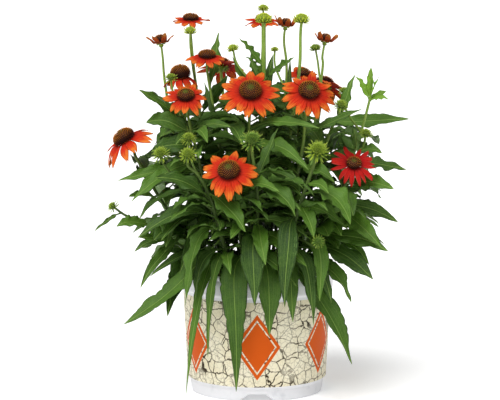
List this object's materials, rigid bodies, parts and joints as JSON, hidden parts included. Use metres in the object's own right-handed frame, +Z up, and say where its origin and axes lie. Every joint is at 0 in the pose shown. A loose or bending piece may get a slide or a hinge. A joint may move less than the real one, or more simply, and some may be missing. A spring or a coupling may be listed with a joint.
{
  "type": "potted coneflower",
  "caption": "Leafy clump of orange coneflowers with spiny brown cones and green buds, growing in a black nursery pot inside a white plastic pot.",
  "frame": {"origin": "on the ground, under the middle of the pot", "axes": "+Z up the plant, -Y towards the front that the picture shows, +X to the right of that view"},
  "size_m": [0.385, 0.304, 0.4731],
  "materials": {
    "white_plastic": "satin",
    "nursery_plastic": "matte",
    "compost": "matte",
    "leaf_green": "satin",
    "ray_orange": "matte",
    "ray_red": "matte",
    "cone_brown": "matte"
  },
  "bodies": {
    "root": {"outer_pot": "white_plastic", "inner_pot": "nursery_plastic", "soil": "compost", "stem_01": "leaf_green", "stem_02": "leaf_green", "stem_03": "leaf_green", "stem_04": "leaf_green", "stem_05": "leaf_green", "stem_06": "leaf_green", "stem_07": "leaf_green", "stem_08": "leaf_green", "stem_09": "leaf_green", "stem_10": "leaf_green", "stem_11": "leaf_green", "stem_12": "leaf_green", "stem_13": "leaf_green", "stem_14": "leaf_green", "stem_15": "leaf_green", "stem_16": "leaf_green", "stem_17": "leaf_green", "stem_18": "leaf_green", "stem_19": "leaf_green", "stem_20": "leaf_green", "stem_21": "leaf_green", "stem_22": "leaf_green", "stem_23": "leaf_green", "stem_24": "leaf_green", "stem_25": "leaf_green", "rays_01": "ray_orange", "rays_02": "ray_orange", "rays_03": "ray_orange", "rays_04": "ray_orange", "rays_05": "ray_orange", "rays_06": "ray_orange", "rays_07": "ray_orange", "rays_08": "ray_red", "rays_09": "ray_orange", "rays_10": "ray_orange", "rays_11": "ray_orange", "rays_12": "ray_orange", "rays_13": "ray_orange", "rays_14": "ray_orange", "rays_15": "ray_orange", "rays_16": "ray_orange", "cone_01": "cone_brown", "cone_02": "cone_brown", "cone_03": "cone_brown", "cone_04": "cone_brown", "cone_05": "cone_brown", "cone_06": "cone_brown", "cone_07": "cone_brown", "cone_08": "cone_brown", "cone_09": "cone_brown", "cone_10": "cone_brown", "cone_11": "cone_brown", "cone_12": "cone_brown", "cone_13": "cone_brown", "cone_14": "cone_brown", "cone_15": "cone_brown", "cone_16": "cone_brown"}
  },
  "joints": []
}
